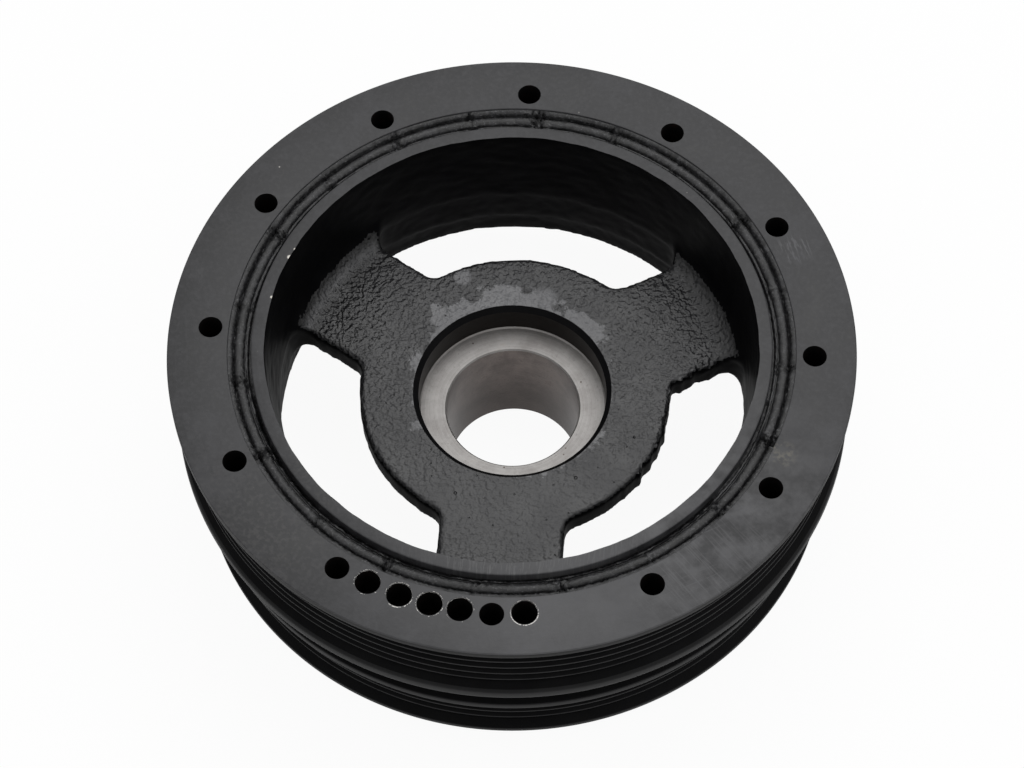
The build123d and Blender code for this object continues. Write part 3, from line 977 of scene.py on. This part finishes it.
# %% Casting blank
# Each shell only has to overlap the hub and stand proud where a tool will cut.
plug = turn([
    (0, web_depth), (counterbore_radius + 2.5, web_depth), (counterbore_radius + 2.5, web_back_depth - 1),
    (bore_radius + 3, web_back_depth + 4), (bore_radius + 3, front_z + stock), (0, front_z + stock),
], 180)
rim_sleeve = turn([
    (rim_mouth_radius + 1, 1.0), (rim_mouth_radius + 0.1, -stock), (rim_outer_radius + stock, -stock),
    (rim_outer_radius + stock, rim_length + stock), (rim_outer_radius - 3, rim_length + stock),
    (rim_outer_radius - 2.4, 6),
], 360)
snout_sleeve = turn([
    (bore_radius + 1, boss_end_depth - 1), (boss_end_radius - 3, boss_end_depth - 1),
    (boss_end_radius - 3, boss_end_depth + 0.6), (snout_radius + stock, boss_end_depth + 3.5),
    (snout_radius + stock, front_z + stock), (bore_radius + 1, front_z + stock),
], 180)
stock_shells = make_piece("stock", [plug, rim_sleeve, snout_sleeve])

hub_casting = bpy.data.objects.new("hub_casting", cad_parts["hub"].data.copy())
bpy.context.scene.collection.objects.link(hub_casting)
joined = bmesh.new()
joined.from_mesh(hub_casting.data)
joined.from_mesh(stock_shells.data)
joined.to_mesh(hub_casting.data)
joined.free()
bpy.data.objects.remove(stock_shells)
remesh = hub_casting.modifiers.new("even_faces", "REMESH")
remesh.mode = "VOXEL"
remesh.voxel_size = voxel * MM
eased = hub_casting.modifiers.new("eased", "SMOOTH")
eased.factor = 0.5
eased.iterations = 3
apply_modifiers(hub_casting)
hub_casting.data.materials.clear()
hub_casting.data.materials.append(coated_casting)
print("blank:", count_triangles(hub_casting), "triangles")

# %% Roughen the skin
def move_along_normals(piece, distance):
    """Moves each vertex along its normal by a distance in millimetres."""
    mesh = piece.data
    points = np.empty(len(mesh.vertices) * 3)
    mesh.vertices.foreach_get("co", points)
    points = points.reshape(-1, 3)
    normals = np.array([v.vector for v in mesh.vertex_normals])
    points = points + normals * (distance(points / MM) * MM)[:, None]
    mesh.vertices.foreach_set("co", points.ravel())
    mesh.update()


def grain(cells):
    """Smooth noise from -1 to 1 at each point of a pattern whose cells are 1 wide."""
    return np.array([noise.noise(point) for point in cells])


def sand_skin(points):
    """Height of the sand's grain: broad waves, pebbles, flow wrinkles on the rim's inner wall, and
    the chipped flash that the core left along the windows, most of all on the right. The chips
    run straight through the web, so their pattern leaves the height out."""
    x, y, z = points.T
    radius, depth = np.hypot(x, y), front_z - z
    waves = grain(points / 11.0)
    pebbles = grain(points / 2.6)
    wrinkled = grain(points / (5.0, 5.0, 2.2))
    chips = grain(np.stack([x / 2.2, y / 2.2, np.full_like(x, 7.0)], 1))
    wall = np.clip((radius - wall_foot) / 3, 0, 1) * (depth < web_depth)
    near_rim = np.clip((radius - pebbles_grow) / 20, 0.3, 1)
    window = (depth > web_depth + 0.6) & (depth < web_back_depth - 0.4)
    window &= (radius > chips_begin) & (radius < wall_foot)
    right_window = window * np.clip((x - 25) / 10, 0, 1) * (y < 14)
    return (0.18 * waves + 0.17 * pebbles * near_rim * (1 - wall) + 0.16 * wrinkled * wall
            + chips * (0.2 * window + 0.6 * right_window))


move_along_normals(hub_casting, sand_skin)
upright = np.array([abs(face.normal.z) < 0.58 for face in hub_casting.data.polygons])
# Upright faces of the casting get the coat darkened by painted shade.
paint(hub_casting, upright_wall_painted_shade,
      lambda radius, depth: upright & (radius > machined_radius) & (depth < boss_end_depth))
print("upright faces:", int(upright.sum()))

# %% [markdown]
# ### Turning the hub
# Each lathe tool is a solid of the space that it sweeps, in the finish that it leaves. The boring
# tool makes the counterbore, its seat and the bore, and its faces get their finishes by place.
# The other two turn the rim's outside and the snout.

# %% Counterbore, seat and bore
below_chamfer = web_depth + counterbore_chamfer
boring_tool = make_piece("boring_tool", [turn([
    (0, web_depth - 4), (counterbore_radius + counterbore_chamfer + 4, web_depth - 4),
    (counterbore_radius, below_chamfer), (counterbore_radius, seat_depth - seat_edge),
    (counterbore_radius - seat_edge, seat_depth),
    (bore_radius + bore_chamfer, seat_depth), (bore_radius, seat_depth + bore_chamfer),
    (bore_radius, front_z - bore_chamfer), (bore_radius + bore_chamfer + 3, front_z + 3), (0, front_z + 3),
], 360)], bare_turned)
# The counterbore's chamfer gets the same nearly black coat; its darkness there is painted shade.
paint(boring_tool, belt_dust_and_painted_shade, lambda radius, depth: depth < below_chamfer - 0.01)
# The counterbore's wall gets bare iron darkened by painted shade.
paint(boring_tool, bored_in_painted_shade,
      lambda radius, depth: (depth > below_chamfer) & (radius > counterbore_radius - 0.1))
paint(boring_tool, bare_bored,
      lambda radius, depth: (depth > below_chamfer) & (radius < bore_radius + 0.1))
cut(hub_casting, boring_tool)
print("bored:", count_triangles(hub_casting), "triangles")

# %% Rim and snout
rim_tool = make_piece("rim_tool", [turn(soften([
    (60, -3), (rim_outer_radius + 5, -3), (rim_outer_radius + 5, rim_length + 4), (60, rim_length + 4),
    (60, rim_length), (rim_outer_radius, rim_length), (rim_outer_radius, 0, 0.4), (60, 0),
]), 720)], coated_turned)
cut(hub_casting, rim_tool)
snout_tool = make_piece("snout_tool", [turn(soften([
    (bore_radius - 3, front_z), (snout_radius - snout_chamfer, front_z),
    (snout_radius, front_z - snout_chamfer), (snout_radius, boss_end_depth, 2.5),
    (boss_end_radius + 8, boss_end_depth), (boss_end_radius + 8, front_z + 3),
    (bore_radius - 3, front_z + 3),
]), 360)], bare_turned)
cut(hub_casting, snout_tool)
smooth_between(hub_casting, 38)
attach(hub_casting, "root")
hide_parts("hub")
print("hub:", count_triangles(hub_casting), "triangles", [m.name for m in hub_casting.data.materials])
